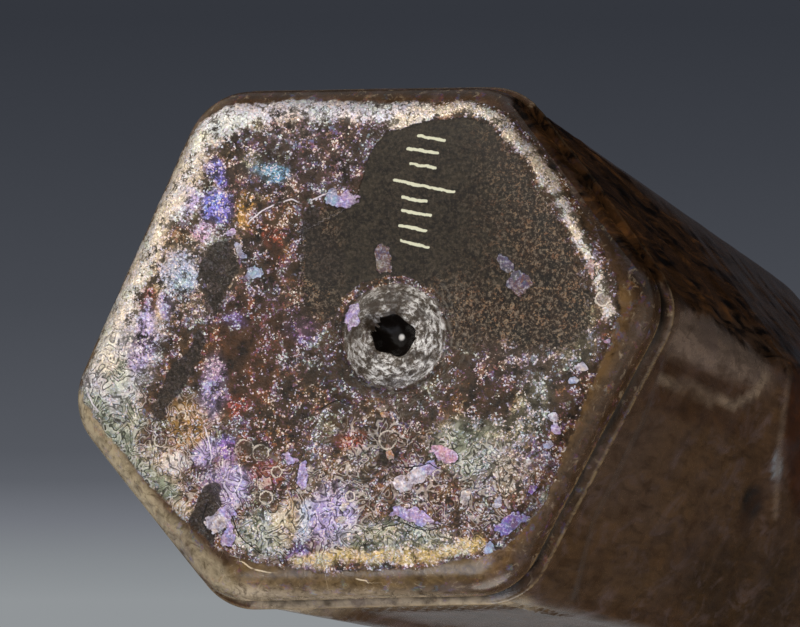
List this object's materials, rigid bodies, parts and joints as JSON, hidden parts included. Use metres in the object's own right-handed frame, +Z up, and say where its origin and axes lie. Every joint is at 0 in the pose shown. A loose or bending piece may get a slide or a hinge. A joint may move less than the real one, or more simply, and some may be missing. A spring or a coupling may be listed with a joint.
{
  "type": "glass bottle",
  "caption": "Tall mould-blown glass bottle with uneven sides that widen upwards, sunken arched panels, a double moulding above the foot, a round neck and a folded lip, and a rod scar under its base.",
  "frame": {"origin": "middle of the bottle's width and depth, at the height of the flat ring it stands on", "axes": "+Z up through the neck; -Y looks at the side that is at the top of the picture, +X to the picture's right"},
  "size_m": [0.0984, 0.085, 0.301],
  "materials": {
    "weathered_glass": "dark brown glass under a thin iridescent and silvery weathering crust, worn bare in places"
  },
  "bodies": {
    "root": {"bottle": "weathered_glass"}
  },
  "joints": []
}
